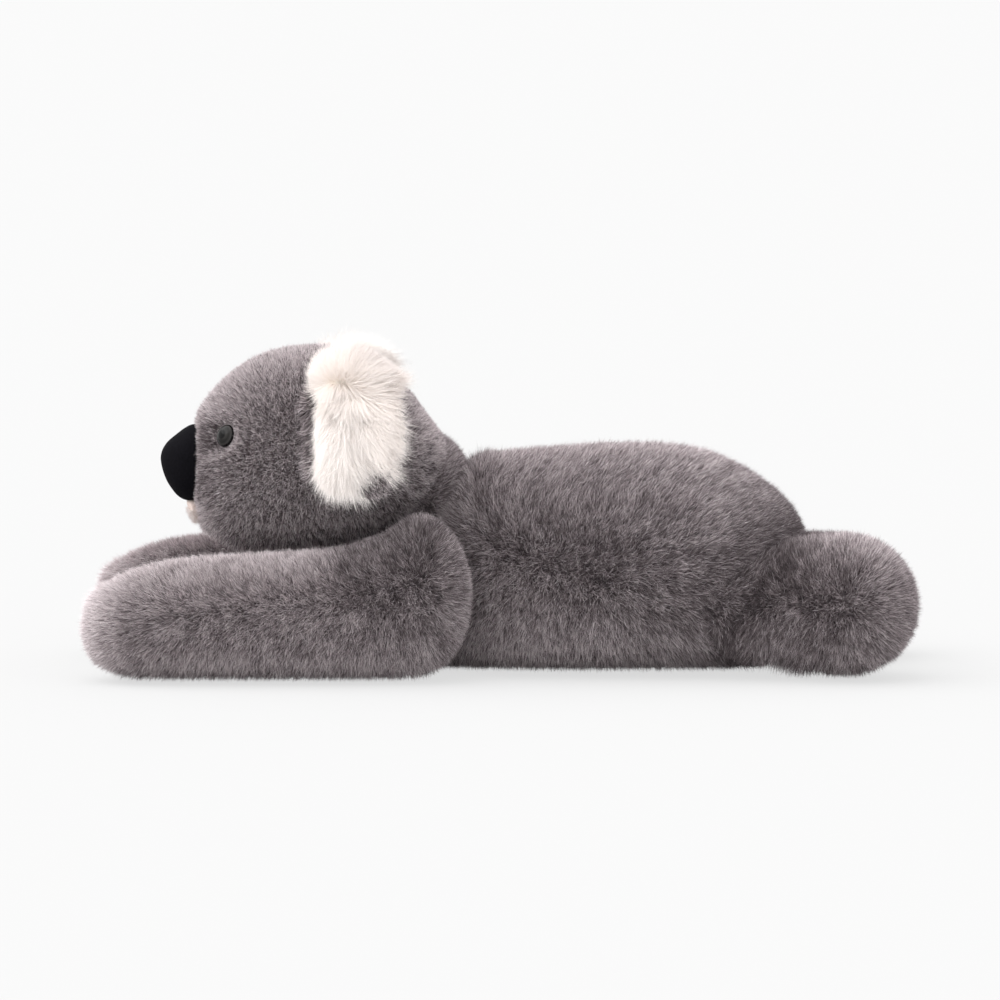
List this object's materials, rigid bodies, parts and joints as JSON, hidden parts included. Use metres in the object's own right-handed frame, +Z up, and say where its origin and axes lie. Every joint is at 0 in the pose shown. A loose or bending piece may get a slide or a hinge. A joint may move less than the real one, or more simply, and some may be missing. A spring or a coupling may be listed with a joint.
{
  "type": "plush koala",
  "caption": "Stuffed plush koala lying on its belly with its arms stretched forward, fluffy ears, and a head, limbs and ears that bend at their seams.",
  "frame": {"origin": "centre of the overall box on the surface the toy lies on", "axes": "+Z up, -Y toward the nose and paws, +X toward the toy's left side"},
  "size_m": [0.2158, 0.45, 0.1858],
  "materials": {
    "fur": "matte long pile",
    "face_fur": "matte short pile",
    "ear_fur": "matte long fine pile",
    "nose_velour": "matte velour",
    "mouth_fabric": "matte",
    "stuffing": "matte fibre fill",
    "eye_plastic": "glossy",
    "washer_plastic": "matte"
  },
  "bodies": {
    "body": {"body_cover": "fur", "body_stuffing": "stuffing"},
    "neck": {"neck_cover": "fur", "neck_stuffing": "stuffing"},
    "head": {"head_cover": "face_fur", "head_stuffing": "stuffing", "nose": "nose_velour", "mouth_patch": "mouth_fabric", "eye_left": "eye_plastic", "eye_right": "eye_plastic", "eye_left_washer": "washer_plastic", "eye_right_washer": "washer_plastic"},
    "arm_left": {"arm_left_cover": "fur", "arm_left_stuffing": "stuffing"},
    "arm_right": {"arm_right_cover": "fur", "arm_right_stuffing": "stuffing"},
    "leg_left": {"leg_left_cover": "fur", "leg_left_stuffing": "stuffing"},
    "leg_right": {"leg_right_cover": "fur", "leg_right_stuffing": "stuffing"},
    "ear_left": {"ear_left_back": "fur", "ear_left_front": "ear_fur"},
    "ear_right": {"ear_right_back": "fur", "ear_right_front": "ear_fur"}
  },
  "joints": [
    {"name": "head_turn", "type": "hinge", "parent": "body", "child": "neck", "pos_m": [0, -0.05, 0.096], "axis": [0, 0, 1], "range_deg": [-12, 12], "stiffness_Nm_per_rad": 0.3},
    {"name": "head_nod", "type": "hinge", "parent": "neck", "child": "head", "pos_m": [0, -0.05, 0.096], "axis": [-1, 0, 0], "range_deg": [0, 12], "stiffness_Nm_per_rad": 0.6, "springref_deg": 4.58},
    {"name": "arm_left_swing", "type": "hinge", "parent": "body", "child": "arm_left", "pos_m": [0.062, -0.046, 0.046], "axis": [0, 0, 1], "range_deg": [0, 35], "stiffness_Nm_per_rad": 0.15},
    {"name": "arm_right_swing", "type": "hinge", "parent": "body", "child": "arm_right", "pos_m": [-0.062, -0.046, 0.046], "axis": [0, 0, -1], "range_deg": [0, 35], "stiffness_Nm_per_rad": 0.15},
    {"name": "leg_left_swing", "type": "hinge", "parent": "body", "child": "leg_left", "pos_m": [0.044, 0.128, 0.04], "axis": [0, 0, -1], "range_deg": [0, 16], "stiffness_Nm_per_rad": 0.15},
    {"name": "leg_right_swing", "type": "hinge", "parent": "body", "child": "leg_right", "pos_m": [-0.044, 0.128, 0.04], "axis": [0, 0, 1], "range_deg": [0, 16], "stiffness_Nm_per_rad": 0.15},
    {"name": "ear_left_fold", "type": "hinge", "parent": "head", "child": "ear_left", "pos_m": [0.06, -0.1, 0.137], "axis": [0.2873, 0, -0.9578], "range_deg": [0, 35], "stiffness_Nm_per_rad": 0.02},
    {"name": "ear_right_fold", "type": "hinge", "parent": "head", "child": "ear_right", "pos_m": [-0.06, -0.1, 0.137], "axis": [0.2873, 0, 0.9578], "range_deg": [0, 35], "stiffness_Nm_per_rad": 0.02}
  ]
}
